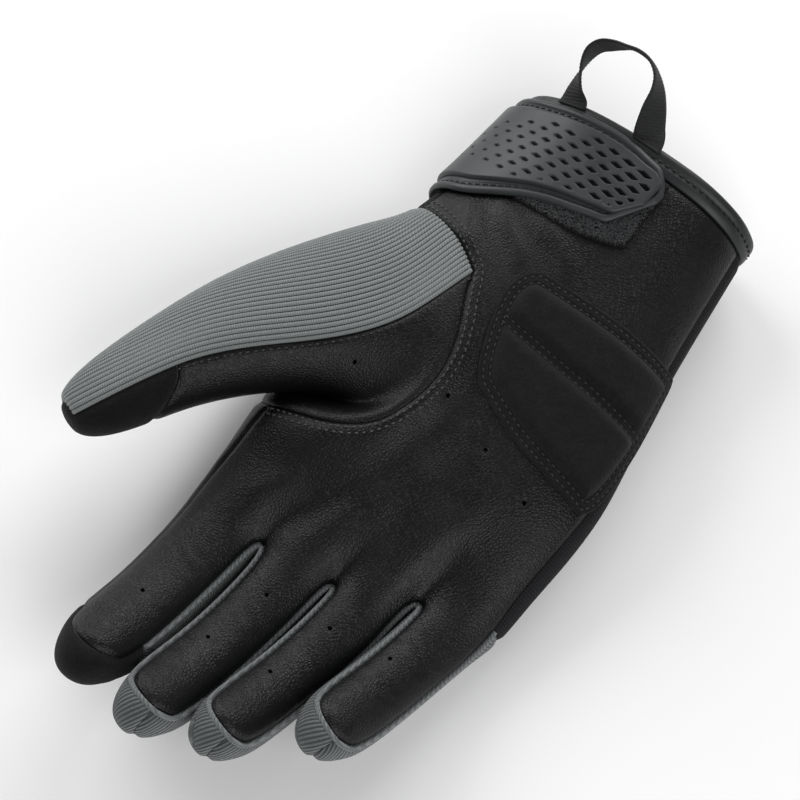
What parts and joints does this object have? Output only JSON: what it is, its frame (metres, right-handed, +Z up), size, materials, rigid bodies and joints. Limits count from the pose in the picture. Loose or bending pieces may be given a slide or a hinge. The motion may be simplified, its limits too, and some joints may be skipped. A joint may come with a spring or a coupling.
{
  "type": "motorcycle glove",
  "caption": "Right-hand short riding glove of leather and ribbed textile, lying palm up, with a moulded wrist strap, padded heel patch, suede tips and a hanging loop.",
  "frame": {"origin": "on the floor under the middle of the palm, on the glove's flat back", "axes": "+X to the thumb's side, +Y to the fingertips, +Z up out of the palm"},
  "size_m": [0.1501, 0.2594, 0.0639],
  "materials": {
    "palm_leather": "fine-grained black leather, soft sheen",
    "back_panel": "black woven textile, matte",
    "side_gusset": "black stretch knit, matte",
    "index_side": "fine-grained black leather, soft sheen",
    "fourchette_index_middle": "dark grey ribbed textile",
    "fourchette_middle_ring": "dark grey ribbed textile",
    "fourchette_ring_little": "dark grey ribbed textile",
    "fourchette_little_side": "dark grey ribbed textile",
    "index_tip": "black suede, very matte",
    "thumb_back": "grey ribbed textile",
    "thumb_front": "fine-grained black leather, soft sheen",
    "thumb_tip": "black suede, very matte",
    "cuff_binding": "smooth coated binding, satin",
    "strap_base": "moulded rubber, satin",
    "strap_plate": "moulded rubber, satin",
    "loop_patch": "fuzzy loop pile",
    "heel_patch": "black suede, very matte",
    "hang_loop": "ribbed black webbing"
  },
  "bodies": {
    "root": {"palm_leather": "palm_leather", "back_panel": "back_panel", "side_gusset": "side_gusset", "index_side": "index_side", "fourchette_index_middle": "fourchette_index_middle", "fourchette_middle_ring": "fourchette_middle_ring", "fourchette_ring_little": "fourchette_ring_little", "fourchette_little_side": "fourchette_little_side", "index_tip": "index_tip", "thumb_back": "thumb_back", "thumb_front": "thumb_front", "thumb_tip": "thumb_tip", "cuff_binding": "cuff_binding", "strap_base": "strap_base", "strap_plate": "strap_plate", "loop_patch": "loop_patch", "heel_patch": "heel_patch", "hang_loop": "hang_loop"}
  },
  "joints": []
}
